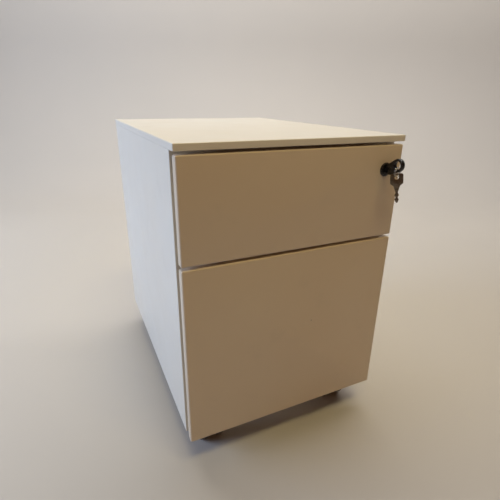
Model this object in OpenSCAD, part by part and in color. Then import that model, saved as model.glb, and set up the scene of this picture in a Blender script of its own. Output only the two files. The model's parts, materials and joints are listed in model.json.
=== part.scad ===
// Two-drawer steel mobile pedestal: a box drawer over a file drawer, on twin-wheel casters.
// X is to the right, Y runs from the front to the back, Z is up. The origin is on the floor at the
// centre of the whole outline, with the key that stands out of the lock included.
// Inside the modules, y = 0 is the plane of the drawer fronts, and put() moves it into the frame.

/* [Case] */
// Width over the top panel
cabinet_w = 390; // [386:1:460]
// Depth from the drawer fronts to the back
cabinet_d = 540; // [535:1:620]
// Height of the top surface above the floor
cabinet_h = 560; // [558:1:620]
// Height of the top panel's folded edge
top_edge_h = 10; // [8:1:12]
// Thickness of the sheet steel
sheet = 1; // [0.8:0.1:1.2]
// Height of the side panels' lower edge above the floor
side_bottom_z = 65; // [65:1:66]
// How far the side panels' front edges stand back from the drawer fronts
side_setback = 23; // [22:1:24]
// How far the side panels' faces lie inside the top panel's edge
side_inset = 0.4; // [0:0.1:0.6]

/* [Drawer fronts] */
// Height of the lower front's bottom edge above the floor
front_bottom_z = 60; // [58:1:62]
// Height of the lower drawer front
lower_front_h = 323; // [320:1:324]
// Gap above each drawer front
front_gap = 5; // [4:1:6]
// Depth of a drawer front's folded edge
front_depth = 13; // [12:0.5:14]
// How far a drawer front is narrower than the top panel on each side
front_inset = 2; // [1:0.5:3]
// Corner radius of a drawer front
front_corner_r = 2; // [1.5:0.5:3]

/* [Drawers] */
// Height of the upper drawer's tray
upper_tray_h = 90; // [70:1:92]
// Height of the lower drawer's tray
lower_tray_h = 260; // [200:1:270]
// Length of the trays
tray_len = 505; // [495:1:510]
// Width of the folded rim along a tray's sides
tray_rim = 6; // [4:1:8]

/* [Telescopic slides] */
// Width that one slide takes beside a tray
slide_w = 12.7; // [12.7]
// Height of the case member
slide_h = 45; // [45]
// Length of every slide member
slide_len = 480; // [460:1:482]
// Radius of a ball
ball_r = 2.35; // [2.3:0.01:2.38]
// Number of balls in one cage strip
ball_count = 8; // [4:1:10]

/* [Lock and key] */
// Distance from the lock's axis to the cabinet's side
lock_from_side = 34.5; // [33:0.5:36]
// Distance from the lock's axis down from the top surface
lock_below_top = 54.5; // [52:0.5:57]
// Turn of the key between open and locked, in degrees
lock_turn = 90; // [90]
// Radius of the lock's rosette
rosette_r = 11.3; // [11:0.1:12]
// Distance from the front to the key's hinge
key_hinge_out = 11.9; // [11.9:0.1:13]
// Angle that the key's head is folded up by
key_tilt = 28; // [0:1:30]

/* [Casters] */
// Wheel radius
wheel_r = 25; // [24:1:25]
// Width of one wheel of a pair
wheel_w = 16; // [14:1:17]
// Distance from the swivel axis to the wheels' axle
caster_trail = 18; // [16:1:20]
// Distance from a swivel axis to the cabinet's side
caster_from_side = 55; // [52:1:60]
// Distance from the front swivel axes to the drawer fronts
caster_from_front = 45; // [43:1:50]
// Distance from the rear swivel axes to the back
caster_from_back = 50; // [48:1:55]

/* [Hidden] */
$fn = 48;
eps = 0.01;
post_sheet = 1.2;
corner_slit = 0.7;
rail_depth = 12;
back_tongue_h = 5;
base_lip_h = 12;

// Heights
top_under_z = cabinet_h - top_edge_h;
base_z = side_bottom_z + sheet;
base_top_z = base_z + post_sheet;
lower_front_top_z = front_bottom_z + lower_front_h;
upper_front_z = lower_front_top_z + front_gap;
upper_front_h = top_under_z - front_gap - upper_front_z;
lower_tray_z = front_bottom_z + 24;
upper_tray_z = upper_front_z + 10;
lower_slide_z = lower_tray_z + 110;
upper_slide_z = upper_tray_z + 35;

// Widths, measured from the middle plane
side_x = cabinet_w / 2 - side_inset;
web_x = side_x - sheet;
front_x = cabinet_w / 2 - front_inset;
flange_x = side_x - 16.6;
slide_out_x = flange_x - 0.5;
tray_x = slide_out_x - slide_w;

// File rails in the lower tray: how far they reach below and above the tray's rim
file_rail_t = 2.5;
file_rail_h = 18;
file_rail_below = 12;

// Depths, measured from the drawer fronts
flange_back_y = side_setback + sheet;
back_inner_y = cabinet_d - 2 * sheet;
slide_y = flange_back_y + rail_depth;
tray_back_y = front_depth + tray_len;
post_w = 28;
front_post_y = slide_y + 4;
rear_post_y = slide_y + slide_len - post_w - 20;

// Slide section: distances u outwards from the tray, and half heights
slide_sheet = 1.5;
slide_web = 1.2;
case_half_h = slide_h / 2;
middle_half_h = case_half_h - 5.5;
inner_half_h = middle_half_h - 5.5;
member_tip_u = 2;
middle_web_u = 9.3;
inner_tip_u = 7;
outer_ball_u = 6.5;
inner_ball_u = 4.2;
outer_ball_z = case_half_h - 3.5;
inner_ball_z = middle_half_h - 3.5;
race_r = ball_r + 0.1;
cage_len = 200;
cage_y = slide_y + 124;
strip_half_w = 2.9;
strip_half_t = 0.3;
ball_pitch = cage_len / ball_count;
screw_r = 2.5;
screw_head_r = 4;
screw_head_h = 0.7;
screw_end = 3;

// Lock and key
lock_x = cabinet_w / 2 - lock_from_side;
lock_z = cabinet_h - lock_below_top;
rosette_out = 2.5;
rosette_rim = 0.8;
barrel_r = 9.5;
barrel_back_y = 20;
lock_nut_r = 13.5;
lock_nut_h = 4;
plug_r = 6.5;
plug_face_y = -2.2;
plug_back_y = barrel_back_y + 1;
keyway_w = 2.5;
keyway_h = 8;
keyway_end_y = 19;
cam_t = 2.5;
cam_hub_r = 6;
cam_arm_r = 3.5;
cam_pin_r = 2;
cam_pin_offset = 6;
pin_reach = cam_pin_offset * sin(lock_turn / 2);
bar_travel = 2 * pin_reach;
key_t = 2.2;
key_blade_h = 6;
key_hinge_up = 2.5;
key_hub_r = 4.5;
key_pin_r = 1.5;
key_end_y = 17.5;
key_tip = 3;
cut_count = 4;
cut_pitch = 4.5;
cut_size = 1.6;
head_t = 6.5;
head_pin_end_r = 9.1;
head_eye_end_r = 10.5;
head_eye_r = 6.5;
head_len = 17.5;
head_cheek_gap = 2.8;
head_slot_r = 10.4;
hinge_z = lock_z + key_hinge_up;
eye_y = -key_hinge_out - head_len * cos(key_tilt);
eye_z = hinge_z + head_len * sin(key_tilt);
ring_r = 7.45;
ring_wire_r = 0.8;
ring_turn = 15;
ring_below_eye = 3.3;
ring_z = eye_z - ring_below_eye - ring_r;
spare_t = 2.2;
spare_turn = -30;
spare_lean = 8;
spare_hole_r = 3.5;
spare_hole_z = ring_z - ring_r - 0.9;
bow_web = 2.7;
bow_half_w = 10.2;
bow_h = 20;
bow_corner = 2;
blade_neck = 11;
key_reach = -eye_y + head_eye_end_r;

// Lock bar and studs
bar_y = flange_back_y + 1.3;
bar_t = 2;
bar_x0 = flange_x + 1.5;
bar_x1 = web_x - 0.9;
stud_x = (bar_x0 + bar_x1) / 2;
upper_stud_z = upper_front_z + 82;
lower_stud_z = lower_front_top_z - 53;
stud_shank_r = 3;
stud_neck_r = 2.2;
stud_head_r = 4;
stud_head_t = 2.5;
stud_hole_r = 5;
stud_gap = 0.5;
stud_head_y = bar_y + bar_t + stud_gap;
bar_z0 = lower_stud_z - 25;
bar_z1 = lock_z + 11;
bar_arm_reach = 11.5;
bar_arm_half_h = 6;
pin_gap = 0.35;
pin_slot_end = 2.6;
guide_h = 12;
guide_heights = [lower_stud_z + 20, upper_stud_z - 30];

// Weight and casters
weight_w = 250;
weight_d = 150;
weight_h = 12;
axle_z = wheel_r;
axle_r = 3;
axle_half = 21;
wheel_x = 7.5;
hood_top_z = base_z - 8;
hood_half_w = 6;
hood_disc_r = 20;
hood_socket_r = 11;
stem_r = 5;
stem_bottom_z = axle_z + 13;
nut_h = 6;
caster_x = cabinet_w / 2 - caster_from_side;
caster_rear_y = cabinet_d - caster_from_back;

// The frame's origin is midway between the key's end and the back
front_y = (key_reach - cabinet_d) / 2;

case_paint = "ivory";
drawer_paint = "linen";
zinc = "silver";
black_plastic = "#262626";
brass_key = "#9a8566";

// ---- Helpers ----

// Moves children from the drawer fronts' plane into the frame
module put() translate([0, front_y, 0]) children();

// A box between two corners
module block(lo, hi) translate(lo) cube(hi - lo);

// A rod along Y
module rod_y(x, z, r, y0, y1) translate([x, y1, z]) rotate([90, 0, 0]) cylinder(r = r, h = y1 - y0);

// A rod along X
module rod_x(y, z, r, x0, x1) translate([x0, y, z]) rotate([0, 90, 0]) cylinder(r = r, h = x1 - x0);

// The same shape on the right and on the left
module both_sides() {
    children();
    mirror([1, 0, 0]) children();
}

// An outline in X and Z, drawn out along Y
module along_y(y0, y1) translate([0, y1, 0]) rotate([90, 0, 0]) linear_extrude(y1 - y0) children();

// A rectangle with round corners
module round_rect(lo, hi, r) {
    translate(lo + [r, 0]) square(hi - lo - [2 * r, 0]);
    translate(lo + [0, r]) square(hi - lo - [0, 2 * r]);
    for (x = [lo[0] + r, hi[0] - r], z = [lo[1] + r, hi[1] - r]) translate([x, z]) circle(r);
}

// ---- Case ----

module top_panel() color(case_paint) put() {
    half = cabinet_w / 2;
    difference() {
        block([-half, 0, top_under_z], [half, cabinet_d, cabinet_h]);
        block([-half + sheet, sheet, top_under_z - 1],
              [half - sheet, cabinet_d - sheet, cabinet_h - sheet]);
        for (y = [sheet, cabinet_d - sheet - corner_slit])
            block([-half - 1, y, top_under_z - 1], [half + 1, y + corner_slit, cabinet_h - 2 * sheet]);
    }
    block([-half + sheet, sheet, top_under_z],
          [half - sheet, flange_back_y + rail_depth, top_under_z + sheet]);
}

// The right side panel, with all four edges folded inwards
module side_panel() difference() {
    block([flange_x, side_setback, side_bottom_z], [side_x, cabinet_d, top_under_z]);
    block([flange_x - 1, flange_back_y, base_z], [web_x, cabinet_d - sheet, top_under_z - sheet]);
}

module left_side_panel() color(case_paint) put() mirror([1, 0, 0]) side_panel();

module right_side_panel() color(case_paint) put() difference() {
    side_panel();
    for (z = [upper_stud_z, lower_stud_z])
        rod_y(stud_x, z, stud_hole_r, side_setback - 1, flange_back_y + 1);
}

// The back, which reaches up inside the top panel's rear edge
module back_panel() color(case_paint) put() {
    block([-web_x, back_inner_y, base_top_z], [web_x, cabinet_d - sheet, top_under_z - sheet]);
    block([-flange_x, back_inner_y, top_under_z - 2 * sheet],
          [flange_x, cabinet_d - sheet, top_under_z + back_tongue_h]);
}

module base_panel() color(case_paint) put() difference() {
    union() {
        block([-web_x, flange_back_y, base_z], [web_x, back_inner_y, base_top_z]);
        block([-flange_x, flange_back_y, base_top_z - eps],
              [flange_x, flange_back_y + post_sheet, base_top_z + base_lip_h]);
    }
    for (x = [-caster_x, caster_x], y = [caster_from_front, caster_rear_y])
        translate([x, y, base_z - 1]) cylinder(r = stem_r + 0.1, h = post_sheet + 2);
}

// A channel across the front of the case, open to the back, between two heights
module front_rail(z0, z1) {
    block([-bar_x1 + 2, flange_back_y, z0], [bar_x1 - 2, flange_back_y + sheet, z1 - sheet]);
    difference() {
        block([-flange_x + 1, flange_back_y, z0], [flange_x - 1, flange_back_y + rail_depth, z1]);
        block([-flange_x, flange_back_y + sheet, z0 + sheet], [flange_x, slide_y + 1, z1 - sheet]);
    }
}

module top_front_rail() color(case_paint) put() front_rail(top_under_z - 18, top_under_z);

module middle_front_rail() color(case_paint) put() front_rail(lower_front_top_z - 5, upper_front_z + 6);

// Upright channels that carry the slides on the right side
module slide_posts() for (y = [front_post_y, rear_post_y]) difference() {
    block([slide_out_x, y, base_top_z], [web_x, y + post_w, top_under_z - sheet]);
    block([slide_out_x + post_sheet, y + post_sheet, base_top_z - 1],
          [web_x + 1, y + post_w - post_sheet, top_under_z]);
    for (z = [upper_slide_z, lower_slide_z]) slide_screw_at(y + post_w / 2, z, 0.05);
}

module left_slide_posts() color(zinc) put() mirror([1, 0, 0]) slide_posts();
module right_slide_posts() color(zinc) put() slide_posts();

// ---- Telescopic slides, drawn for the right side ----

// A channel outline: web on one side, two flanges with ball races
module channel(u0, u1, web_u0, half_h) translate([tray_x, 0]) difference() {
    translate([u0, -half_h]) square([u1 - u0, 2 * half_h]);
    translate([web_u0 > u0 ? u0 - 1 : u0 + slide_web, slide_sheet - half_h])
        square([u1 - u0 + 1 - slide_web, 2 * (half_h - slide_sheet)]);
}

// Round grooves that the balls of one race run in
module races(u, z) for (side = [-1, 1]) translate([tray_x + u, side * z]) circle(race_r);

module case_member(z) translate([0, 0, z]) along_y(slide_y, slide_y + slide_len) difference() {
    channel(member_tip_u, slide_w, slide_w - slide_web, case_half_h);
    races(outer_ball_u, outer_ball_z);
}

module middle_member(z) translate([0, 0, z]) along_y(slide_y, slide_y + slide_len) difference() {
    channel(member_tip_u, middle_web_u + slide_web, middle_web_u, middle_half_h);
    races(outer_ball_u, outer_ball_z);
    races(inner_ball_u, inner_ball_z);
}

module drawer_member(z) translate([0, 0, z]) along_y(slide_y, slide_y + slide_len) difference() {
    channel(0, inner_tip_u, 0, inner_half_h);
    races(inner_ball_u, inner_ball_z);
}

// A pair of steel strips with a row of balls in each
module ball_cage(slide_z, u, z) for (side = [-1, 1]) translate([tray_x + u, cage_y, slide_z + side * z]) {
    block([-strip_half_w, 0, -strip_half_t], [strip_half_w, cage_len, strip_half_t]);
    for (i = [0 : ball_count - 1]) translate([0, (i + 0.5) * ball_pitch, 0]) sphere(ball_r);
}

module slide_screw_at(y, z, gap) {
    web_face = slide_out_x - slide_web;
    rod_x(y, z, screw_r + gap, web_face - eps, slide_out_x + post_sheet + screw_end);
    rod_x(y, z, screw_head_r + gap, web_face - screw_head_h, web_face);
}

module each_slide_screw(gap)
    for (y = [front_post_y, rear_post_y], z = [upper_slide_z, lower_slide_z])
        slide_screw_at(y + post_w / 2, z, gap);

module case_slide_members() color(zinc) put() both_sides() difference() {
    for (z = [upper_slide_z, lower_slide_z]) case_member(z);
    each_slide_screw(0.05);
}

module slide_screws() color(zinc) put() both_sides() each_slide_screw(0);

module upper_middle_slides() color(zinc) put() both_sides() middle_member(upper_slide_z);
module lower_middle_slides() color(zinc) put() both_sides() middle_member(lower_slide_z);
module upper_drawer_slides() color(zinc) put() both_sides() drawer_member(upper_slide_z);
module lower_drawer_slides() color(zinc) put() both_sides() drawer_member(lower_slide_z);

module outer_cages(slide_z) color(zinc) put() both_sides() ball_cage(slide_z, outer_ball_u, outer_ball_z);
module inner_cages(slide_z) color(zinc) put() both_sides() ball_cage(slide_z, inner_ball_u, inner_ball_z);

// ---- Drawers ----

// A pan with its folded edges towards the back
module drawer_front(z0, z1) difference() {
    along_y(0, front_depth) round_rect([-front_x, z0], [front_x, z1], front_corner_r);
    along_y(sheet, front_depth + 1)
        round_rect([-front_x + sheet, z0 + sheet], [front_x - sheet, z1 - sheet], front_corner_r - sheet);
}

// The plate that closes the back of a drawer front
module drawer_liner(z0, z1) along_y(front_depth - sheet, front_depth)
    round_rect([-front_x + sheet, z0 + sheet], [front_x - sheet, z1 - sheet], front_corner_r - sheet);

// An open-topped tray with a folded rim along each side
module tray(z0, h) {
    difference() {
        block([-tray_x, front_depth, z0], [tray_x, tray_back_y, z0 + h]);
        block([-tray_x + sheet, front_depth + sheet, z0 + sheet],
              [tray_x - sheet, tray_back_y - sheet, z0 + h + 1]);
    }
    both_sides() block([tray_x - tray_rim, front_depth + sheet / 2, z0 + h - sheet],
                       [tray_x - sheet / 2, tray_back_y - sheet / 2, z0 + h]);
}

// A headed stud on the back of a drawer front, which the lock bar catches
module lock_stud(z) {
    rod_y(stud_x, z, stud_shank_r, front_depth, flange_back_y + 0.5);
    rod_y(stud_x, z, stud_neck_r, flange_back_y, stud_head_y + eps);
    rod_y(stud_x, z, stud_head_r, stud_head_y, stud_head_y + stud_head_t);
}

module upper_front() color(drawer_paint) put() difference() {
    drawer_front(upper_front_z, upper_front_z + upper_front_h);
    rod_y(lock_x, lock_z, barrel_r + 0.1, -1, sheet + 1);
}

module upper_liner() color(drawer_paint) put() difference() {
    drawer_liner(upper_front_z, upper_front_z + upper_front_h);
    rod_y(lock_x, lock_z, barrel_r + 0.1, 0, front_depth + 1);
}

module lower_front() color(drawer_paint) put() drawer_front(front_bottom_z, lower_front_top_z);
module lower_liner() color(drawer_paint) put() drawer_liner(front_bottom_z, lower_front_top_z);
module upper_tray() color(drawer_paint) put() tray(upper_tray_z, upper_tray_h);
module lower_tray() color(drawer_paint) put() tray(lower_tray_z, lower_tray_h);
module upper_lock_stud() color(zinc) put() lock_stud(upper_stud_z);
module lower_lock_stud() color(zinc) put() lock_stud(lower_stud_z);

// Bars that hanging files hook over, one inside each side of the lower tray
module file_rails() color(zinc) put() both_sides() {
    rail_x = tray_x - tray_rim - 0.3;
    rail_z = lower_tray_z + lower_tray_h - file_rail_below;
    block([rail_x - file_rail_t, front_depth + sheet, rail_z],
          [rail_x, tray_back_y - sheet, rail_z + file_rail_h]);
}

// ---- Lock ----

// The upright bar: keyhole slots for the studs, and a slotted arm that the cam's pin lifts
module lock_bar() color(zinc) put() difference() {
    slot_z = lock_z - pin_reach;
    union() {
        block([bar_x0, bar_y, bar_z0], [bar_x1, bar_y + bar_t, bar_z1]);
        block([lock_x - bar_arm_reach, bar_y, slot_z - bar_arm_half_h],
              [bar_x0 + eps, bar_y + bar_t, slot_z + bar_arm_half_h]);
    }
    for (z = [upper_stud_z, lower_stud_z]) {
        rod_y(stud_x, z, stud_head_r + stud_gap, bar_y - 1, bar_y + bar_t + 1);
        rod_y(stud_x, z - bar_travel, stud_neck_r + stud_gap, bar_y - 1, bar_y + bar_t + 1);
        block([stud_x - stud_neck_r - stud_gap, bar_y - 1, z - bar_travel],
              [stud_x + stud_neck_r + stud_gap, bar_y + bar_t + 1, z]);
    }
    block([lock_x - cam_pin_offset - pin_slot_end, bar_y - 1, slot_z - cam_pin_r - pin_gap],
          [lock_x - pin_reach + pin_slot_end, bar_y + bar_t + 1, slot_z + cam_pin_r + pin_gap]);
}

// Clips behind the right side panel's front flange that the bar slides in
module lock_bar_guides() color(zinc) put() for (z = guide_heights) difference() {
    block([flange_x + 0.2, flange_back_y, z], [web_x, bar_y + bar_t + 1.5, z + guide_h]);
    block([bar_x0 - 0.3, flange_back_y - 1, z - 1], [bar_x1 + 0.3, bar_y + bar_t + 0.3, z + guide_h + 1]);
}

module lock_barrel() color(black_plastic) put() difference() {
    union() {
        rod_y(lock_x, lock_z, rosette_r, -rosette_out + rosette_rim, 0);
        rod_y(lock_x, lock_z, rosette_r - 1, -rosette_out, -rosette_out + rosette_rim + eps);
        rod_y(lock_x, lock_z, barrel_r, -eps, barrel_back_y);
    }
    rod_y(lock_x, lock_z, plug_r + 0.06, -rosette_out - 1, barrel_back_y + 1);
}

module lock_nut() color(zinc) put() difference() {
    translate([lock_x, front_depth + lock_nut_h, lock_z]) rotate([90, 0, 0])
        cylinder(r = lock_nut_r, h = lock_nut_h, $fn = 6);
    rod_y(lock_x, lock_z, barrel_r + 0.05, front_depth - 1, front_depth + lock_nut_h + 1);
}

module lock_plug() color(black_plastic) put() difference() {
    rod_y(lock_x, lock_z, plug_r, plug_face_y, plug_back_y);
    block([lock_x - keyway_w / 2, plug_face_y - 1, lock_z - keyway_h / 2],
          [lock_x + keyway_w / 2, keyway_end_y, lock_z + keyway_h / 2]);
}

// The cam behind the plug; its pin stands in the lock bar's slot when the drawer is shut
module lock_cam() color(zinc) put() {
    cam_back_y = plug_back_y + cam_t;
    pin_x = lock_x - cam_pin_offset * cos(lock_turn / 2);
    rod_y(lock_x, lock_z, cam_hub_r, plug_back_y, cam_back_y);
    translate([lock_x, cam_back_y, lock_z]) rotate([90, 0, 0]) linear_extrude(cam_t)
        rotate(180 + lock_turn / 2) translate([0, -cam_arm_r]) square([cam_pin_offset, 2 * cam_arm_r]);
    rod_y(pin_x, lock_z - pin_reach, cam_arm_r, plug_back_y, cam_back_y);
    rod_y(pin_x, lock_z - pin_reach, cam_pin_r, cam_back_y - eps, bar_y + bar_t + 1.5);
}

// ---- Key, spare key and ring ----

// Outline in the key's plane: x runs inwards from the hinge, y up
module key_blade_outline() {
    len = key_hinge_out + key_end_y;
    half = key_blade_h / 2;
    circle(key_hub_r);
    translate([0, -key_hinge_up]) {
        difference() {
            translate([0, -half]) square([len - key_tip, key_blade_h]);
            for (i = [0 : cut_count - 1]) translate([len - key_tip - 2 - cut_pitch * i, -half - 0.2])
                rotate(45) square(cut_size + 0.3 * (i % 2), center = true);
        }
        polygon([[len - key_tip - eps, -half], [len, -1], [len, 1], [len - key_tip - eps, half]]);
    }
}

module at_key_hinge() translate([lock_x, -key_hinge_out, hinge_z]) children();

module key_blade() color(brass_key) put() at_key_hinge() difference() {
    rotate([90, 0, 90]) linear_extrude(key_t, center = true) key_blade_outline();
    rod_x(0, 0, key_pin_r + 0.08, -key_t, key_t);
}

// Outline of the head: a round end at the hinge widening to a round end with an eye
module key_head_outline() hull() {
    circle(head_pin_end_r, $fn = 96);
    translate([head_len, 0]) circle(head_eye_end_r, $fn = 96);
}

module key_head() color(black_plastic) put() at_key_hinge() rotate([-key_tilt, 0, 0]) difference() {
    rotate([90, 0, -90]) linear_extrude(head_t, center = true) key_head_outline();
    rod_x(-head_len, 0, head_eye_r, -head_t, head_t);
    rod_x(0, 0, key_pin_r + 0.02, -head_t, head_t);
    rod_x(0, 0, head_slot_r, -head_cheek_gap / 2, head_cheek_gap / 2);
}

module key_hinge_pin() color(zinc) put() at_key_hinge() rod_x(0, 0, key_pin_r, -head_t / 2, head_t / 2);

module key_ring() color(zinc) put() translate([lock_x, eye_y, ring_z]) rotate([90, 0, ring_turn])
    rotate_extrude() translate([ring_r, 0]) circle(ring_wire_r);

// Outline of the spare key, hanging: x across, y up, with 0 at the hole's centre
module spare_key_outline() {
    top = spare_hole_r + bow_web;
    bow_bottom = top - bow_h;
    neck = bow_bottom - blade_neck;
    right_side = [
        [bow_half_w - bow_corner, top], [bow_half_w, top - bow_corner],
        [bow_half_w, bow_bottom + 2 * bow_corner], [bow_half_w - 2.5 * bow_corner, bow_bottom],
        [1.6, neck], [3.4, neck - 3.5], [3.4, neck - 5], [1.4, neck - 8],
        [3.2, neck - 11], [3.2, neck - 12], [1, neck - 17]
    ];
    left_side = [for (i = [len(right_side) - 1 : -1 : 0]) [-right_side[i][0], right_side[i][1]]];
    difference() {
        polygon(concat(right_side, left_side));
        circle(spare_hole_r);
    }
}

module spare_key() color(brass_key) put() translate([lock_x, eye_y, spare_hole_z])
    rotate([90, 0, spare_turn]) linear_extrude(spare_t, center = true)
        rotate(spare_lean) spare_key_outline();

// ---- Weight and casters ----

module counterweight() color(zinc) put()
    block([-weight_w / 2, back_inner_y - 8 - weight_d, base_top_z],
          [weight_w / 2, back_inner_y - 8, base_top_z + weight_h]);

module at_casters()
    for (x = [-caster_x, caster_x], y = [caster_from_front, caster_rear_y]) translate([x, y, 0]) children();

// Fixed threaded stems with a collar under the base
module caster_stems() color(zinc) put() at_casters() {
    translate([0, 0, stem_bottom_z]) cylinder(r = stem_r, h = base_top_z + nut_h + 2 - stem_bottom_z);
    translate([0, 0, hood_top_z + 0.3]) cylinder(r = 9, h = base_z - hood_top_z - 0.3);
}

module caster_nuts() color(zinc) put() at_casters() translate([0, 0, base_top_z]) difference() {
    cylinder(r = 9.8, h = nut_h, $fn = 6);
    translate([0, 0, -1]) cylinder(r = stem_r + 0.05, h = nut_h + 2);
}

// The cowl over the wheels: an arc around the axle, above a height, between two heights of shell
module caster_cowl(inner_r, outer_r, half_w) intersection() {
    difference() {
        rod_x(caster_trail, axle_z, outer_r, -half_w, half_w);
        rod_x(caster_trail, axle_z, inner_r, -half_w - 1, half_w + 1);
    }
    block([-half_w, -30, axle_z + 8], [half_w, caster_trail + 8, hood_top_z]);
}

// The swivelling body: a disc between the wheels, a socket for the stem and the cowl
module caster_hood(x, y) color(black_plastic) put() translate([x, y, 0]) difference() {
    union() {
        rod_x(caster_trail, axle_z, hood_disc_r, -hood_half_w, hood_half_w);
        block([-hood_half_w, 0, axle_z], [hood_half_w, caster_trail, hood_top_z - 8]);
        caster_cowl(hood_disc_r - 1, wheel_r + 3, hood_half_w);
        caster_cowl(wheel_r + 1.5, wheel_r + 3.5, 24);
        difference() {
            translate([0, 0, axle_z + 6]) cylinder(r = hood_socket_r, h = hood_top_z - axle_z - 6);
            for (x0 = [wheel_x - 1, -wheel_x - wheel_w])
                rod_x(caster_trail, axle_z, wheel_r + 1.5 + eps, x0, x0 + wheel_w + 1);
        }
    }
    translate([0, 0, stem_bottom_z - 0.3]) cylinder(r = stem_r + 0.08, h = hood_top_z);
    rod_x(caster_trail, axle_z, axle_r + 0.02, -hood_half_w - 1, hood_half_w + 1);
}

module caster_axle(x, y) color(zinc) put() translate([x, y, 0])
    rod_x(caster_trail, axle_z, axle_r, -axle_half, axle_half);

// A wheel with a dished outer face and rounded shoulders; side is -1 or 1
module caster_wheel(x, y, side) color(black_plastic) put() translate([x, y + caster_trail, axle_z])
    rotate([0, 90 * side, 0]) difference() {
        outer_x = wheel_x + wheel_w;
        rotate_extrude() polygon([
            [0, wheel_x], [wheel_r - 2, wheel_x], [wheel_r, wheel_x + 2], [wheel_r, outer_x - 3],
            [wheel_r - 3, outer_x], [wheel_r - 6, outer_x], [wheel_r - 8, outer_x - 1.5], [0, outer_x - 1.5]
        ]);
        translate([0, 0, wheel_x - 1]) cylinder(r = axle_r + 0.08, h = axle_half - wheel_x + 1.1);
    }

top_panel();
left_side_panel();
right_side_panel();
back_panel();
base_panel();
top_front_rail();
middle_front_rail();
left_slide_posts();
right_slide_posts();
case_slide_members();
slide_screws();
lock_bar_guides();
counterweight();
caster_stems();
caster_nuts();
lock_bar();
upper_front();
upper_liner();
upper_tray();
upper_drawer_slides();
upper_lock_stud();
upper_middle_slides();
outer_cages(upper_slide_z);  // upper_outer_cages
inner_cages(upper_slide_z);  // upper_inner_cages
lock_barrel();
lock_nut();
lock_plug();
lock_cam();
key_blade();
key_head();
key_hinge_pin();
key_ring();
spare_key();
lower_front();
lower_liner();
lower_tray();
lower_drawer_slides();
lower_lock_stud();
file_rails();
lower_middle_slides();
outer_cages(lower_slide_z);  // lower_outer_cages
inner_cages(lower_slide_z);  // lower_inner_cages
caster_hood(-caster_x, caster_from_front);  // front_left_hood
caster_axle(-caster_x, caster_from_front);  // front_left_axle
caster_wheel(-caster_x, caster_from_front, -1);  // front_left_wheel_a
caster_wheel(-caster_x, caster_from_front, 1);  // front_left_wheel_b
caster_hood(caster_x, caster_from_front);  // front_right_hood
caster_axle(caster_x, caster_from_front);  // front_right_axle
caster_wheel(caster_x, caster_from_front, -1);  // front_right_wheel_a
caster_wheel(caster_x, caster_from_front, 1);  // front_right_wheel_b
caster_hood(-caster_x, caster_rear_y);  // rear_left_hood
caster_axle(-caster_x, caster_rear_y);  // rear_left_axle
caster_wheel(-caster_x, caster_rear_y, -1);  // rear_left_wheel_a
caster_wheel(-caster_x, caster_rear_y, 1);  // rear_left_wheel_b
caster_hood(caster_x, caster_rear_y);  // rear_right_hood
caster_axle(caster_x, caster_rear_y);  // rear_right_axle
caster_wheel(caster_x, caster_rear_y, -1);  // rear_right_wheel_a
caster_wheel(caster_x, caster_rear_y, 1);  // rear_right_wheel_b
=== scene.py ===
# A two-drawer steel mobile pedestal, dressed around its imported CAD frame. Sheet-metal pieces are rebuilt as
# folded pans with round folds, the key, lock and casters as turned and moulded pieces. Everything else keeps
# its CAD node, with softened edges and a procedural material.

import json
from math import asin, cos, hypot, pi, radians, sin

import bmesh
import bpy
from mathutils import Matrix, Vector


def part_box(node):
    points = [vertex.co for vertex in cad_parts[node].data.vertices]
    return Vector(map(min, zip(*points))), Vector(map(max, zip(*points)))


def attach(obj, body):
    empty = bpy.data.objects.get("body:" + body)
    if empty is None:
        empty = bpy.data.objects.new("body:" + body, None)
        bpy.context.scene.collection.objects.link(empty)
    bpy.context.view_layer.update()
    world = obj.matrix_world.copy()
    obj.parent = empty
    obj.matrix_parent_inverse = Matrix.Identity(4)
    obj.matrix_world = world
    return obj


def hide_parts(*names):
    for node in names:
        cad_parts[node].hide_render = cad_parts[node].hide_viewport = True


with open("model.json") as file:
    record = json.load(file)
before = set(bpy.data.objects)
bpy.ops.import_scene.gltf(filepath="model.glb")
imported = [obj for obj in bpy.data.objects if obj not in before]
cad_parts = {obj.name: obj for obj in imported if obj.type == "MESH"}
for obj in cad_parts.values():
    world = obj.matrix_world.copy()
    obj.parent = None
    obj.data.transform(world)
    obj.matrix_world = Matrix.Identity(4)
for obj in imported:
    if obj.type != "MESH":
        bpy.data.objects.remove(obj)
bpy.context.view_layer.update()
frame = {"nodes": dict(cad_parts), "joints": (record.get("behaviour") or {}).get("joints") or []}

MM = 0.001
SHEET = 1.0 * MM  # the thickness of the sheet steel
SHARP_ANGLE = 35.0  # degrees between two faces from which their edge stays sharp
ON_AXIS = 0.001 * MM  # the radius that stands for a turned piece's end on its axis

# The camera stands left of the middle, in front of the drawers and a little above the top
CAMERA_LEFT = 0.3178
CAMERA_FROM_FRONT = 0.4908
CAMERA_ABOVE_TOP = 0.0557
CAMERA_YAW = radians(25.30)
CAMERA_PITCH = radians(-21.64)
CAMERA_ROLL = radians(0.76)
CAMERA_LENS = 27.91
SENSOR = 36.0

# Power of each light in watts, by colour, and the light of the surroundings
CEILING = (4.4, 3.65, 1.9)
WINDOW = (34.0, 43.0, 60.0)
FILL = (3.9, 1.2, 0.2)
BACKDROP = (108.0, 106.0, 103.0)
WORLD_COLOUR = (0.055, 0.036, 0.022)


# ---- Places read from the frame ----

TOP_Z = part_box("top_panel")[1].z
FRONT_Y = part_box("lower_front")[0].y
JOINTS = {joint["name"]: joint for joint in frame["joints"]}

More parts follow.
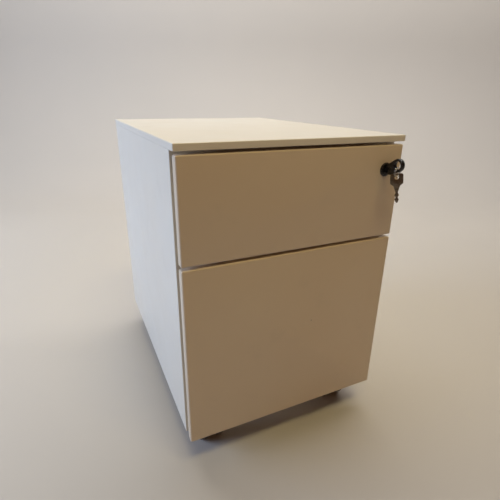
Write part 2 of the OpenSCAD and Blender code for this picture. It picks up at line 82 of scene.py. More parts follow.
# Sizes of the lock and the key, as drawn in the CAD
BARREL_R = 9.5 * MM
BARREL_HOLE_R = 9.6 * MM
PLUG_GAP = 0.06 * MM
PIN_END_R = 9.1 * MM
EYE_END_R = 10.5 * MM
EYE_R = 6.5 * MM
HEAD_SLOT_R = 10.4 * MM
HEAD_SLOT_W = 2.8 * MM
RING_TURN = radians(15)
SPARE_LEAN = radians(8)
SPARE_HOLE_R = 3.5 * MM
SPARE_THICKNESS = 2.2 * MM


def joint_at(name):
    """The point that a hinge turns about."""
    return Vector(JOINTS[name]["pos_m"])


def lock_centre():
    """Where the lock's axis meets the plane of the drawer fronts."""
    low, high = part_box("lock_barrel")
    return Vector(((low.x + high.x) / 2, FRONT_Y, (low.z + high.z) / 2))


# ---- Materials ----

class Shader:
    """A principled material whose sockets are fed by small procedural nets."""

    def __init__(self, name, roughness=0.5, metallic=0.0, specular=0.5):
        self.material = bpy.data.materials.new(name)
        self.material.use_nodes = True
        self.tree = self.material.node_tree
        self.bsdf = self.tree.nodes["Principled BSDF"]
        self.bsdf.inputs["Metallic"].default_value = metallic
        self.bsdf.inputs["Roughness"].default_value = roughness
        self.bsdf.inputs["Specular IOR Level"].default_value = specular
        self.place = self.node("ShaderNodeTexCoord").outputs["Object"]

    def node(self, kind, **settings):
        made = self.tree.nodes.new(kind)
        for key, value in settings.items():
            setattr(made, key, value)
        return made

    def link(self, source, target):
        self.tree.links.new(source, target)

    def stretched(self, scale):
        """Object coordinates stretched along the axes."""
        mapping = self.node("ShaderNodeMapping")
        mapping.inputs["Scale"].default_value = scale
        self.link(self.place, mapping.inputs["Vector"])
        return mapping.outputs["Vector"]

    def noise(self, scale, detail=2.0, roughness=0.5, place=None):
        """Noise with features about 1 / scale metres wide."""
        noise = self.node("ShaderNodeTexNoise")
        noise.inputs["Scale"].default_value = scale
        noise.inputs["Detail"].default_value = detail
        noise.inputs["Roughness"].default_value = roughness
        self.link(place or self.place, noise.inputs["Vector"])
        return noise.outputs["Fac"]

    def ramp(self, value, low, high, out_low=0.0, out_high=1.0):
        """value mapped from low..high to out_low..out_high, clamped."""
        ramp = self.node("ShaderNodeMapRange")
        for socket, number in zip(("From Min", "From Max", "To Min", "To Max"), (low, high, out_low, out_high)):
            ramp.inputs[socket].default_value = number
        self.link(value, ramp.inputs["Value"])
        return ramp.outputs["Result"]

    def mix(self, factor, first, second):
        """A colour between two, each a colour or a socket."""
        mix = self.node("ShaderNodeMix", data_type="RGBA")
        self.link(factor, mix.inputs["Factor"])
        for socket, colour in ((mix.inputs["A"], first), (mix.inputs["B"], second)):
            if isinstance(colour, bpy.types.NodeSocket):
                self.link(colour, socket)
            else:
                socket.default_value = (*colour, 1.0)
        return mix.outputs["Result"]

    def product(self, first, second):
        """Two sockets multiplied."""
        calc = self.node("ShaderNodeMath", operation="MULTIPLY")
        self.link(first, calc.inputs[0])
        self.link(second, calc.inputs[1])
        return calc.outputs["Value"]

    def colour(self, source):
        self.link(source, self.bsdf.inputs["Base Color"])

    def rough(self, source):
        self.link(source, self.bsdf.inputs["Roughness"])

    def bump(self, *layers):
        """Stacks (height socket, depth in metres) layers of bump."""
        normal = None
        for height, depth in layers:
            bump = self.node("ShaderNodeBump")
            bump.inputs["Strength"].default_value = 1.0
            bump.inputs["Distance"].default_value = depth
            self.link(height, bump.inputs["Height"])
            if normal:
                self.link(normal, bump.inputs["Normal"])
            normal = bump.outputs["Normal"]
        self.link(normal, self.bsdf.inputs["Normal"])


def powder_coat(name, base, warm, scuff_amount):
    """Satin powder coat: fine orange peel, faint waves in the sheet, yellowing, smudges and a few chips."""
    shader = Shader(name, roughness=0.4, specular=0.45)
    shader.bsdf.inputs["Coat Weight"].default_value = 0.12
    shader.bsdf.inputs["Coat Roughness"].default_value = 0.28
    yellowing = shader.ramp(shader.noise(3.5, detail=3.0), 0.35, 0.7)
    aged = shader.mix(yellowing, base, warm)
    smudge = shader.ramp(shader.noise(16.0, detail=6.0, roughness=0.65), 0.56, 0.78, 0.0, scuff_amount)
    smudged = shader.mix(smudge, aged, (0.50, 0.45, 0.38))
    streaks = shader.noise(9.0, detail=4.0, place=shader.stretched((1.0, 1.0, 14.0)))
    chip_field = shader.noise(150.0, detail=1.0)
    chip = shader.product(shader.ramp(chip_field, 0.80, 0.825), shader.ramp(streaks, 0.56, 0.66))
    shader.colour(shader.mix(chip, smudged, (0.46, 0.41, 0.34)))
    shader.rough(shader.ramp(shader.noise(22.0, detail=5.0), 0.3, 0.75, 0.33, 0.46))
    shader.bump((shader.noise(7.0, detail=1.0), 0.4 * MM), (shader.noise(720.0, detail=1.5), 0.035 * MM))
    return shader.material


def zinc_plate(name, base=(0.58, 0.59, 0.60), roughness=0.33):
    """Bright zinc over rolled steel: fine rolling lines along Y, clouds in the plating, dull marks."""
    shader = Shader(name, roughness=roughness, metallic=1.0)
    cloud = shader.ramp(shader.noise(35.0, detail=4.0), 0.3, 0.7)
    lines = shader.noise(260.0, detail=3.0, place=shader.stretched((1.0, 0.02, 1.0)))
    tone = shader.mix(cloud, base, tuple(0.78 * channel for channel in base))
    shader.colour(shader.mix(shader.ramp(lines, 0.55, 0.75, 0.0, 0.5), tone, (0.72, 0.72, 0.70)))
    shader.rough(shader.ramp(shader.noise(60.0, detail=5.0), 0.3, 0.7, roughness - 0.07, roughness + 0.14))
    shader.bump((lines, 0.03 * MM))
    return shader.material


def key_metal(name):
    """Nickel worn through to brass on the raised parts, with hairline scratches."""
    shader = Shader(name, roughness=0.3, metallic=1.0)
    wear = shader.ramp(shader.noise(210.0, detail=5.0, roughness=0.6), 0.38, 0.66)
    tone = shader.mix(wear, (0.20, 0.165, 0.12), (0.32, 0.27, 0.20))
    scratch = shader.noise(1400.0, detail=2.0, place=shader.stretched((0.08, 0.08, 1.0)))
    shader.colour(shader.mix(shader.ramp(scratch, 0.62, 0.72, 0.0, 0.45), tone, (0.50, 0.45, 0.37)))
    shader.rough(shader.ramp(wear, 0.0, 1.0, 0.42, 0.27))
    shader.bump((scratch, 0.02 * MM))
    return shader.material


def moulded_plastic(name, base, roughness, grain_depth):
    """Moulded plastic: a fine spark-eroded grain, slightly polished by handling, with dust in the hollows."""
    shader = Shader(name, roughness=roughness, specular=0.5)
    handling = shader.ramp(shader.noise(90.0, detail=4.0), 0.35, 0.7)
    dusty = tuple(min(1.0, channel * 2.2 + 0.012) for channel in base)
    tone = shader.mix(shader.ramp(handling, 0.4, 1.0, 0.0, 0.5), base, dusty)
    fleck = shader.ramp(shader.noise(1500.0, detail=1.0), 0.70, 0.78, 0.0, 0.35)
    shader.colour(shader.mix(fleck, tone, tuple(channel + 0.05 for channel in dusty)))
    shader.rough(shader.ramp(handling, 0.0, 1.0, roughness - 0.08, roughness + 0.1))
    shader.bump((shader.noise(2600.0, detail=2.0), grain_depth))
    return shader.material


def wheel_nylon(name):
    """Dark nylon with a scuffed, dusty tread and faint turning rings."""
    shader = Shader(name, roughness=0.5)
    dirt = shader.ramp(shader.noise(140.0, detail=6.0, roughness=0.7), 0.42, 0.68)
    shader.colour(shader.mix(dirt, (0.022, 0.020, 0.019), (0.085, 0.072, 0.058)))
    shader.rough(shader.ramp(dirt, 0.0, 1.0, 0.38, 0.72))
    shader.bump((shader.noise(900.0, detail=4.0), 0.05 * MM))
    return shader.material


def floor_paint(name):
    """A plain pale floor, with only a breath of variation."""
    shader = Shader(name, roughness=0.62, specular=0.3)
    cloud = shader.ramp(shader.noise(0.9, detail=3.0), 0.3, 0.7)
    shader.colour(shader.mix(cloud, (0.56, 0.525, 0.475), (0.59, 0.55, 0.495)))
    shader.bump((shader.noise(240.0, detail=2.0), 0.05 * MM))
    return shader.material


PAINT = powder_coat("case_paint", (0.80, 0.77, 0.70), (0.79, 0.74, 0.65), 0.14)
# The case's own paint, darkened and warmed to carry painted shade and the painted warm bounce light of a brown
# floor on the fronts; the drawers' fronts, liners and trays wear it
SHADED_DRAWER_PAINT = powder_coat("drawer_paint", (0.73, 0.62, 0.485), (0.71, 0.585, 0.445), 0.13)
ZINC = zinc_plate("zinc_steel")
DARK_ZINC = zinc_plate("dull_steel", (0.36, 0.36, 0.36), 0.45)
NICKEL = zinc_plate("nickel", (0.66, 0.64, 0.60), 0.22)
KEY_METAL = key_metal("key_metal")
BLACK = moulded_plastic("black_plastic", (0.012, 0.012, 0.013), 0.27, 0.008 * MM)
HOOD_BLACK = moulded_plastic("hood_plastic", (0.020, 0.019, 0.019), 0.48, 0.03 * MM)
NYLON = wheel_nylon("wheel_plastic")


# ---- Mesh helpers ----

def add_object(name, data):
    """An object for a mesh, light or camera, linked to the scene."""
    made = bpy.data.objects.new(name, data)
    bpy.context.scene.collection.objects.link(made)
    return made


def finish_mesh(name, mesh_data, material, body, node, sharp=SHARP_ANGLE):
    """Turns a bmesh into a piece that rides a body and stands for a CAD node; sharp is in degrees."""
    bmesh.ops.recalc_face_normals(mesh_data, faces=mesh_data.faces)
    mesh = bpy.data.meshes.new(name)
    mesh_data.to_mesh(mesh)
    mesh_data.free()
    mesh.shade_smooth()
    mesh.set_sharp_from_angle(angle=radians(sharp))
    piece = add_object(name, mesh)
    mesh.materials.append(material)
    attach(piece, body)
    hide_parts(node)
    return piece


def repaint(node, material):
    """Gives a CAD node one material."""
    materials = frame["nodes"][node].data.materials
    materials.clear()
    materials.append(material)


def soften(node, width, material, segments=2):
    """A CAD node keeps its shape: its seams are welded, its edges broken and its material set."""
    piece = frame["nodes"][node]
    weld = piece.modifiers.new("weld", "WELD")
    weld.merge_threshold = 0.004 * MM
    bevel = piece.modifiers.new("edges", "BEVEL")
    bevel.width = width
    bevel.segments = segments
    bevel.limit_method = "ANGLE"
    bevel.angle_limit = radians(40)
    bevel.use_clamp_overlap = True
    bevel.harden_normals = True
    piece.data.shade_smooth()
    repaint(node, material)


def fold_arc(radius, steps):
    """Steps of a quarter round edge, from the face to the wall, as (inset, depth below the face)."""
    angles = [0.5 * pi * step / steps for step in range(steps + 1)]
    return [(radius * (1 - sin(angle)), radius * (1 - cos(angle))) for angle in angles]


def corner_loop(half_u, half_v, radius, steps=4):
    """Points of a rectangle with round corners, anticlockwise."""
    points = []
    corners = ((1, 1, 0.0), (-1, 1, 0.5 * pi), (-1, -1, pi), (1, -1, 1.5 * pi))
    for side_u, side_v, start in corners:
        for step in range(steps + 1):
            angle = start + 0.5 * pi * step / steps
            points.append((
                side_u * (half_u - radius) + radius * cos(angle),
                side_v * (half_v - radius) + radius * sin(angle),
            ))
    return points


def bridge(mesh_data, ring, following):
    """Joins two rings of vertices with quads."""
    for index in range(len(ring)):
        after = (index + 1) % len(ring)
        mesh_data.faces.new((ring[index], ring[after], following[after], following[index]))


def skin_loops(mesh_data, loops):
    """Joins rings of points with quads and closes the two ends with one face each."""
    rings = [[mesh_data.verts.new(point) for point in loop] for loop in loops]
    for ring, following in zip(rings, rings[1:]):
        bridge(mesh_data, ring, following)
    mesh_data.faces.new(rings[0])
    mesh_data.faces.new(rings[-1])


AXES = {"X": Vector((1, 0, 0)), "Y": Vector((0, 1, 0)), "Z": Vector((0, 0, 1))}


def placed(low, high, opening):
    """Half sizes and a function from (u, v, w) to a point, where w runs from the closed face to the opening."""
    sign = 1 if opening[0] == "+" else -1
    w_axis = AXES[opening[1]]
    u_axis = AXES["Y" if opening[1] == "X" else "X"]
    v_axis = AXES["Y" if opening[1] == "Z" else "Z"]
    size = high - low
    centre = (low + high) / 2
    depth = size.dot(w_axis)
    start = centre - sign * w_axis * depth / 2

    def point(u, v, w):
        return start + u_axis * u + v_axis * v + sign * w_axis * w

    return size.dot(u_axis) / 2, size.dot(v_axis) / 2, depth, point


def add_pan(mesh_data, low, high, opening, wall=SHEET, fold=1.6 * MM, corner=1.2 * MM):
    """A folded sheet pan: a flat face, four walls with round folds, open on one side."""
    half_u, half_v, depth, point = placed(low, high, opening)
    rim = 0.25 * wall
    inner = max(fold - wall, 0.3 * MM)
    profile = fold_arc(fold, 4)
    profile += [(0.0, depth - rim), (rim, depth), (wall - rim, depth), (wall, depth - rim)]
    profile += [(wall + inset, wall + w) for inset, w in reversed(fold_arc(inner, 4))]
    loops = []
    for inset, w in profile:
        radius = max(corner - inset, 0.2 * MM)
        loops.append([point(u, v, w) for u, v in corner_loop(half_u - inset, half_v - inset, radius)])
    skin_loops(mesh_data, loops)


def add_slab(mesh_data, low, high, opening="+Y", edge=0.3 * MM, corner=0.6 * MM):
    """A flat plate with broken edges."""
    half_u, half_v, depth, point = placed(low, high, opening)
    edge = min(edge, 0.45 * depth)
    profile = [(edge, 0.0), (0.3 * edge, 0.3 * edge), (0.0, edge), (0.0, depth - edge),
               (0.3 * edge, depth - 0.3 * edge), (edge, depth)]
    loops = []
    for inset, w in profile:
        radius = max(corner - inset, 0.15 * MM)
        loops.append([point(u, v, w) for u, v in corner_loop(half_u - inset, half_v - inset, radius)])
    skin_loops(mesh_data, loops)


def lathe_loops(origin, axis, profile, steps=64):
    """Rings of points about an axis, one for each (radius, distance along the axis) of a profile."""
    axis = Vector(axis).normalized()
    across = axis.orthogonal().normalized()
    other = axis.cross(across)
    loops = []
    for radius, along in profile:
        ring = []
        for step in range(steps):
            angle = 2 * pi * step / steps
            ring.append(origin + axis * along + (across * cos(angle) + other * sin(angle)) * radius)
        loops.append(ring)
    return loops


def add_bored_lathe(mesh_data, origin, axis, profile):
    """A turned piece with a bore: its profile is a closed loop."""
    rings = []
    for loop in lathe_loops(origin, axis, profile):
        rings.append([mesh_data.verts.new(point) for point in loop])
    for index, ring in enumerate(rings):
        bridge(mesh_data, ring, rings[(index + 1) % len(rings)])


def rounded_profile(points, radius, steps=3):
    """A closed outline of (x, y) points with each corner rounded by up to radius."""
    rounded = []
    count = len(points)
    for index in range(count):
        here = Vector(points[index])
        before = Vector(points[index - 1]) - here
        after = Vector(points[(index + 1) % count]) - here
        cut = min(radius, 0.45 * before.length, 0.45 * after.length)
        start = here + before.normalized() * cut
        end = here + after.normalized() * cut
        for step in range(steps + 1):
            t = step / steps
            rounded.append(start * (1 - t) ** 2 + here * (2 * t * (1 - t)) + end * t ** 2)
    return rounded


def bake_modifiers(piece):
    """Replaces a piece's mesh by what its modifiers make of it."""
    depsgraph = bpy.context.evaluated_depsgraph_get()
    mesh = bpy.data.meshes.new_from_object(piece.evaluated_get(depsgraph))
    piece.modifiers.clear()
    piece.data = mesh


def cut_with(piece, cutter_data):
    """Cuts a closed mesh out of a piece."""
    bmesh.ops.recalc_face_normals(cutter_data, faces=cutter_data.faces)
    cutter_mesh = bpy.data.meshes.new("cutter")
    cutter_data.to_mesh(cutter_mesh)
    cutter_data.free()
    cutter = add_object("cutter", cutter_mesh)
    cut = piece.modifiers.new("cut", "BOOLEAN")
    cut.operation = "DIFFERENCE"
    cut.solver = "EXACT"
    cut.object = cutter
    bake_modifiers(piece)
    bpy.data.objects.remove(cutter)
    bpy.data.meshes.remove(cutter_mesh)


def cut_round_hole(piece, origin, axis, radius, start, end):
    """Cuts a cylinder out of a piece, between two distances along its axis."""
    cutter_data = bmesh.new()
    profile = [(ON_AXIS, start), (radius, start), (radius, end), (ON_AXIS, end)]
    skin_loops(cutter_data, lathe_loops(origin, axis, profile))
    cut_with(piece, cutter_data)


# ---- Sheet-metal case ----

def pan_piece(node, body, opening, material, fold=1.6 * MM, corner=1.2 * MM):
    """Rebuilds a CAD node as a folded pan of the same outline."""
    mesh_data = bmesh.new()
    low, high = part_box(node)
    add_pan(mesh_data, low, high, opening, fold=fold, corner=corner)
    return finish_mesh(node + "_sheet", mesh_data, material, body, node)


def slab_piece(node, body, material, corner=0.6 * MM):
    """Rebuilds an upright CAD node as a flat plate with broken edges."""
    mesh_data = bmesh.new()
    low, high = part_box(node)
    add_slab(mesh_data, low, high, corner=corner)
    return finish_mesh(node + "_sheet", mesh_data, material, body, node)


def cut_corner_slits(top):
    """The folded edges of the top leave a narrow slit at both ends of each side."""
    low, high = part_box("top_panel")
    width, reach = 0.7 * MM, 1.5 * MM
    cutters = bmesh.new()
    for y in (low.y + SHEET, high.y - SHEET - width):
        for x in (low.x, high.x):
            slit_low = Vector((x - reach, y, low.z - reach))
            slit_high = Vector((x + reach, y + width, high.z - 2 * SHEET))
            add_slab(cutters, slit_low, slit_high, "+Z", edge=0.01 * MM, corner=0.02 * MM)
    cut_with(top, cutters)


def cut_lock_hole(piece):
    """The round hole that the lock's barrel passes through."""
    cut_round_hole(piece, lock_centre(), (0, 1, 0), BARREL_HOLE_R, -1.0 * MM, 20.0 * MM)


def add_top_return(top):
    """The top's front edge folds back under itself to the front rail."""
    low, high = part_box("top_panel")
    back_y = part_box("top_front_rail")[1].y
    mesh_data = bmesh.new()
    mesh_data.from_mesh(top.data)
    add_slab(mesh_data, low + Vector((SHEET, SHEET, 0)), Vector((high.x - SHEET, back_y, low.z + SHEET)), "+Z")
    bmesh.ops.recalc_face_normals(mesh_data, faces=mesh_data.faces)
    mesh_data.to_mesh(top.data)
    mesh_data.free()
    top.data.set_sharp_from_angle(angle=radians(SHARP_ANGLE))


def build_case():
    """The top, the panels, and what is fixed to them inside."""
    top = pan_piece("top_panel", "case", "-Z", PAINT, fold=1.5 * MM, corner=0.9 * MM)
    cut_corner_slits(top)
    add_top_return(top)
    pan_piece("left_side_panel", "case", "+X", PAINT, fold=1.3 * MM, corner=0.9 * MM)
    slab_piece("back_panel", "case", PAINT)
    soften("right_side_panel", 0.45 * MM, PAINT, segments=3)
    for node in ("base_panel", "top_front_rail", "middle_front_rail"):
        soften(node, 0.3 * MM, PAINT)
    for node in ("left_slide_posts", "right_slide_posts", "counterweight"):
        soften(node, 0.35 * MM, DARK_ZINC)
    for node in ("case_slide_members", "slide_screws", "lock_bar_guides", "caster_stems", "caster_nuts"):
        soften(node, 0.25 * MM, ZINC)
    soften("lock_bar", 0.25 * MM, ZINC)


# ---- Drawers ----

def build_front(level, body):
    """The drawer's front, a folded pan, and the liner that closes its back."""
    # The front and the liner wear the drawer paint, which carries painted shade
    front = pan_piece(f"{level}_front", body, "+Y", SHADED_DRAWER_PAINT, fold=2.5 * MM, corner=3.0 * MM)
    liner = slab_piece(f"{level}_liner", body, SHADED_DRAWER_PAINT, corner=1.2 * MM)
    if level == "upper":
        cut_lock_hole(front)
        cut_lock_hole(liner)


def build_tray(level, body):
    """An open pan with a rim folded inwards along each side."""
    rim = 6.0 * MM
    tray = bmesh.new()
    low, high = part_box(f"{level}_tray")
    add_pan(tray, low, high, "+Z", fold=1.8 * MM, corner=2.0 * MM)
    for side in (-1, 1):
        outer = side * (high.x - 0.5 * SHEET)
        inner = side * (high.x - rim)
        rim_low = Vector((min(outer, inner), low.y + 0.5 * SHEET, high.z - SHEET))
        rim_high = Vector((max(outer, inner), high.y - 0.5 * SHEET, high.z))
        add_slab(tray, rim_low, rim_high, "+Z")
    # The tray wears the drawer paint, which carries painted shade
    finish_mesh(f"{level}_tray_sheet", tray, SHADED_DRAWER_PAINT, body, f"{level}_tray")


def build_drawer(level):
    """Front, liner, tray, slides and stud of the upper or lower drawer."""
    body = f"{level}_drawer"
    build_front(level, body)
    build_tray(level, body)
    for node in ("drawer_slides", "middle_slides", "lock_stud"):
        soften(f"{level}_{node}", 0.25 * MM, ZINC)
    for node in ("outer_cages", "inner_cages"):
        repaint(f"{level}_{node}", NICKEL)


# ---- Lock and key ----

def build_lock():
    """The barrel with its domed rosette, and the plug, nut and cam."""
    low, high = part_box("lock_barrel")
    rosette = (high.x - low.x) / 2
    out = FRONT_Y - low.y
    depth = high.y - FRONT_Y
    plug_low, plug_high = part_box("lock_plug")
    bore = (plug_high.x - plug_low.x) / 2 + PLUG_GAP
    profile = [
        (bore, -out + 0.5 * MM), (bore + 0.4 * MM, -out + 0.1 * MM), (bore + 0.9 * MM, -out),
        (rosette - 3.4 * MM, -out), (rosette - 1.7 * MM, -out + 0.25 * MM),
        (rosette - 0.5 * MM, -out + 0.9 * MM), (rosette, -out + 1.8 * MM), (rosette, 0.0),
        (BARREL_R, 0.0), (BARREL_R, depth - 0.5 * MM), (BARREL_R - 0.5 * MM, depth), (bore, depth),
    ]
    mesh_data = bmesh.new()
    add_bored_lathe(mesh_data, lock_centre(), (0, 1, 0), profile)
    finish_mesh("lock_rosette", mesh_data, BLACK, "upper_drawer", "lock_barrel", sharp=30)
    soften("lock_nut", 0.4 * MM, ZINC)
    soften("lock_plug", 0.25 * MM, BLACK)
    soften("lock_cam", 0.3 * MM, ZINC)


def inset_loop(loop, amount):
    """A closed loop of (u, v) points moved to its left by amount."""
    moved = []
    count = len(loop)
    for index in range(count):
        before = Vector(loop[index]) - Vector(loop[index - 1])
        after = Vector(loop[(index + 1) % count]) - Vector(loop[index])
        side = (before.normalized() + after.normalized()).normalized()
        moved.append(Vector(loop[index]) + Vector((-side.y, side.x)) * amount)
    return moved


def extrude_outline(mesh_data, outline, hole, centre, u_axis, v_axis, thickness, edge, steps):
    """A plate with rounded edges, from an anticlockwise outline and a clockwise hole of (u, v) points."""
    normal = u_axis.cross(v_axis)
    arc = fold_arc(edge, steps)
    profile = [(inset, -thickness / 2 + w) for inset, w in arc]
    profile += [(inset, thickness / 2 - w) for inset, w in reversed(arc)]
    caps = {0: [], len(profile) - 1: []}
    for loop in (outline, hole):
        rings = []
        for inset, w in profile:
            points = [centre + u_axis * u + v_axis * v + normal * w for u, v in inset_loop(loop, inset)]
            rings.append([mesh_data.verts.new(point) for point in points])
        for ring, following in zip(rings, rings[1:]):
            bridge(mesh_data, ring, following)
        for which, edges in caps.items():
            ring = rings[which]
            pairs = zip(ring, ring[1:] + ring[:1])
            edges += [mesh_data.edges.get(pair) for pair in pairs]
    for edges in caps.values():
        bmesh.ops.triangle_fill(mesh_data, edges=edges, use_beauty=True, use_dissolve=False)


def clockwise_circle(centre_u, radius, steps):
    """A hole's loop of (u, v) points, centred on the u axis."""
    angles = [-2 * pi * step / steps for step in range(steps)]
    return [(centre_u + radius * cos(angle), radius * sin(angle)) for angle in angles]


def build_key_head():
    """The black folding head: a band that widens to a round eye, with softly rounded edges."""
    pin = joint_at("key_fold")
    eye = joint_at("key_ring_swing")
    outward = (eye - pin).normalized()
    upward = Vector((0, outward.z, -outward.y))
    low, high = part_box("key_head")
    thickness = high.x - low.x
    reach = (eye - pin).length
    lean = asin((EYE_END_R - PIN_END_R) / reach)
    steps = 40
    outline = []
    for step in range(steps + 1):
        angle = -(0.5 * pi + lean) + (pi + 2 * lean) * step / steps
        outline.append((reach + EYE_END_R * cos(angle), EYE_END_R * sin(angle)))
    for step in range(steps + 1):
        angle = 0.5 * pi + lean + (pi - 2 * lean) * step / steps
        outline.append((PIN_END_R * cos(angle), PIN_END_R * sin(angle)))
    hole = clockwise_circle(reach, EYE_R, 48)
    mesh_data = bmesh.new()
    extrude_outline(mesh_data, outline, hole, pin, outward, upward, thickness, 1.0 * MM, steps=4)
    head = finish_mesh("key_head_moulding", mesh_data, BLACK, "key_head", "key_head", sharp=40)

    # The slot that the blade folds in
    cut_round_hole(head, pin, (1, 0, 0), HEAD_SLOT_R, -HEAD_SLOT_W / 2, HEAD_SLOT_W / 2)
    head.data.set_sharp_from_angle(angle=radians(40))
    soften("key_hinge_pin", 0.3 * MM, NICKEL)
    soften("key_blade", 0.2 * MM, KEY_METAL)


def ring_path(centre, radius, wire):
    """Points along two turns of wire that lie side by side and step over each other once."""
    plane_u = Vector((cos(RING_TURN), sin(RING_TURN), 0))
    plane_v = Vector((0, 0, 1))
    normal = plane_u.cross(plane_v)
    turns, steps = 1.96, 150
    step_over_start, step_over_length = 0.9, 0.12
    path = []
    for step in range(steps + 1):
        turn = turns * step / steps
        angle = 2 * pi * turn + 0.35 * pi
        crossed = min(max((turn - step_over_start) / step_over_length, 0.0), 1.0)
        shift = wire * (crossed * 2 - 1)
        path.append(centre + (plane_u * cos(angle) + plane_v * sin(angle)) * radius + normal * shift)
    return path


def build_ring():
    """The split ring, of round wire."""
    low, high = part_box("key_ring")
    centre = (low + high) / 2
    wire = 0.42 * MM
    path = ring_path(centre, (high.z - low.z) / 2 - 2 * wire + 0.35 * MM, wire)
    sides = 10
    loops = []
    for index, here in enumerate(path):
        along = path[min(index + 1, len(path) - 1)] - path[max(index - 1, 0)]
        outward = (here - centre).normalized()
        across = along.cross(outward).normalized()
        outward = across.cross(along).normalized()
        angles = [2 * pi * side / sides for side in range(sides)]
        loops.append([here + (outward * cos(angle) + across * sin(angle)) * wire for angle in angles])
    mesh_data = bmesh.new()
    skin_loops(mesh_data, loops)
    finish_mesh("split_ring", mesh_data, NICKEL, "key_ring", "key_ring", sharp=50)


def build_spare_key():
    """The flat spare key: a bow with a hole, a tapering shoulder and a blade cut on both edges."""
    joint = JOINTS["spare_key_swing"]
    hole_centre = Vector(joint["pos_m"])
    normal = Vector(joint["axis"]).normalized()
    level = Vector((normal.y, -normal.x, 0))
    across = level * cos(SPARE_LEAN) + Vector((0, 0, 1)) * sin(SPARE_LEAN)
    upward = Vector((0, 0, 1)) * cos(SPARE_LEAN) - level * sin(SPARE_LEAN)
    # In millimetres about the hole, down the right edge
    top, bow, corner, rounding = 6.2, 10.2, 2.0, 1.1
    right = [
        (bow - corner, top), (bow, top - corner), (bow, top - 16.0), (bow - 5.0, top - 20.0),
        (1.6, top - 31.0), (3.4, top - 34.5), (3.4, top - 36.0), (1.4, top - 39.0), (3.2, top - 42.0),
        (3.2, top - 43.0), (1.0, top - 48.0),
    ]
    left = [(-x, y) for x, y in reversed(right)]
    outline = [(point.x * MM, point.y * MM) for point in reversed(rounded_profile(right + left, rounding))]
    hole = clockwise_circle(0.0, SPARE_HOLE_R, 32)
    mesh_data = bmesh.new()
    extrude_outline(mesh_data, outline, hole, hole_centre, across, upward, SPARE_THICKNESS, 0.35 * MM, steps=2)
    finish_mesh("spare_key_plate", mesh_data, KEY_METAL, "spare_key", "spare_key", sharp=30)


# ---- Casters ----

def build_wheel(node):
    """A moulded wheel: round tread, dished face with a stepped hub. Its body has its node's name."""
    low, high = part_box(node)
    hub = (low + high) / 2
    outward = -1 if node.endswith("_a") else 1
    inner_x = high.x if outward < 0 else low.x
    radius = (high.z - low.z) / 2
    width = high.x - low.x
    bore, axle_dimple = 3.1 * MM, 0.4 * MM
    origin = Vector((inner_x, hub.y, hub.z))
    profile = [
        (bore, 0.0), (radius - 2.2 * MM, 0.0), (radius - 0.7 * MM, 0.6 * MM), (radius, 2.2 * MM),
        (radius, 0.45 * width), (radius, width - 3.6 * MM), (radius - 0.5 * MM, width - 1.9 * MM),
        (radius - 1.8 * MM, width - 0.6 * MM), (radius - 3.4 * MM, width), (radius - 6.0 * MM, width),
        (radius - 6.6 * MM, width - 0.5 * MM), (radius - 7.2 * MM, width - 2.4 * MM),
        (9.6 * MM, width - 2.9 * MM), (8.8 * MM, width - 1.9 * MM), (8.2 * MM, width - 1.5 * MM),
        (1.2 * MM, width - 1.3 * MM), (axle_dimple, width - 1.3 * MM), (axle_dimple, width - 3.0 * MM),
        (bore, width - 3.0 * MM),
    ]
    mesh_data = bmesh.new()
    add_bored_lathe(mesh_data, origin, (outward, 0, 0), profile)
    finish_mesh(node + "_moulding", mesh_data, NYLON, node, node, sharp=32)


def build_casters():
    """Four hoods and axles with two wheels each."""
    for corner in ("front_left", "front_right", "rear_left", "rear_right"):
        soften(f"{corner}_hood", 0.7 * MM, HOOD_BLACK, segments=3)
        soften(f"{corner}_axle", 0.3 * MM, ZINC)
        for side in ("a", "b"):
            build_wheel(f"{corner}_wheel_{side}")


# ---- Stage, lights and camera ----

def turned(x, y, z):
    """A point of the stage, which squarely faces the camera."""
    return Matrix.Rotation(-CAMERA_YAW, 3, "Z") @ Vector((x, y, z))


def build_stage():
    """A pale floor that sweeps up into a pale wall far behind the cabinet."""
    half, near_y, wall_y, wall_top, sweep = 6.0, -5.0, 2.4, 4.0, 1.0
    profile = [(near_y, 0.0), (-2.0, 0.0), (0.0, 0.0), (wall_y - sweep, 0.0)]
    steps = 16
    for step in range(1, steps + 1):
        angle = 0.5 * pi * step / steps
        profile.append((wall_y - sweep + sweep * sin(angle), sweep * (1 - cos(angle))))
    profile.append((wall_y, wall_top))
    mesh_data = bmesh.new()
    rows = [[mesh_data.verts.new(turned(x, y, z)) for x in (-half, 0.0, half)] for y, z in profile]
    for row, following in zip(rows, rows[1:]):
        for index in range(2):
            mesh_data.faces.new((row[index], row[index + 1], following[index + 1], following[index]))
    mesh = bpy.data.meshes.new("floor")
    mesh_data.to_mesh(mesh)
    mesh_data.free()
    mesh.shade_smooth()
    floor = add_object("floor", mesh)
    mesh.materials.append(floor_paint("floor_paint"))


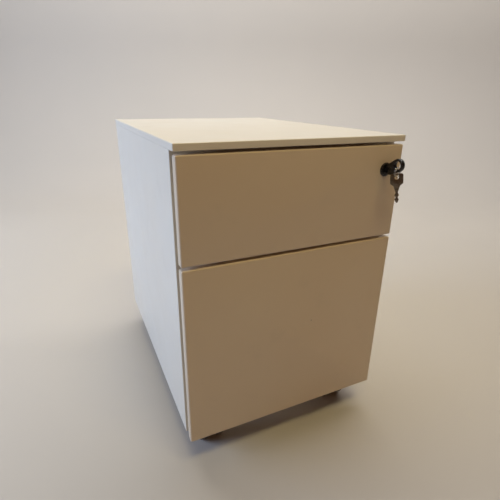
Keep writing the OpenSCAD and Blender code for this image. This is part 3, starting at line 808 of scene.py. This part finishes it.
def build_surroundings():
    """A faint warm light from all around, and plain colours in the picture."""
    world = bpy.data.worlds.new("studio")
    bpy.context.scene.world = world
    world.use_nodes = True
    background = world.node_tree.nodes["Background"]
    background.inputs["Color"].default_value = (*WORLD_COLOUR, 1.0)
    background.inputs["Strength"].default_value = 1.0
    bpy.context.scene.view_settings.view_transform = "Standard"


def area_light(name, place, target, size, colour, spread=180):
    """A soft rectangular light that looks at a point; spread is the angle of its beam in degrees."""
    data = bpy.data.lights.new(name, "AREA")
    data.shape = "RECTANGLE"
    data.size, data.size_y = size
    data.spread = radians(spread)
    data.energy = max(colour)
    data.color = [channel / max(colour) for channel in colour]
    light = add_object(name, data)
    light.location = place
    light.rotation_euler = (Vector(target) - Vector(place)).to_track_quat("-Z", "Y").to_euler()


def build_lights():
    """A warm lamp above the front, a cool window at the left, a weak fill, and one for the wall behind."""
    heart = (0.0, 0.0, 0.35)
    area_light("ceiling", (-0.05, -1.15, 2.7), (0.0, 0.2, 0.5), (1.3, 0.5), CEILING, spread=75)
    area_light("window", (-2.6, 0.7, 1.2), heart, (1.7, 1.6), WINDOW)
    area_light("front_fill", (0.6, -3.0, 1.5), heart, (2.6, 1.6), FILL)
    area_light("backdrop", turned(0.3, 0.9, 3.3), turned(0.3, 2.6, 0.9), (4.6, 0.6), BACKDROP)


def build_camera():
    """The camera at the photograph's place."""
    data = bpy.data.cameras.new("camera")
    data.sensor_width = SENSOR
    data.lens = CAMERA_LENS
    camera = add_object("camera", data)
    turn = Matrix.Rotation(-CAMERA_YAW, 4, "Z") @ Matrix.Rotation(pi / 2 + CAMERA_PITCH, 4, "X")
    turn = turn @ Matrix.Rotation(CAMERA_ROLL, 4, "Z")
    place = Vector((-CAMERA_LEFT, FRONT_Y - CAMERA_FROM_FRONT, TOP_Z + CAMERA_ABOVE_TOP))
    camera.matrix_world = Matrix.Translation(place) @ turn
    bpy.context.scene.camera = camera


build_camera()
build_stage()
build_surroundings()
build_lights()
build_case()
build_drawer("upper")
build_drawer("lower")
soften("file_rails", 0.4 * MM, ZINC)
build_lock()
build_key_head()
build_ring()
build_spare_key()
build_casters()
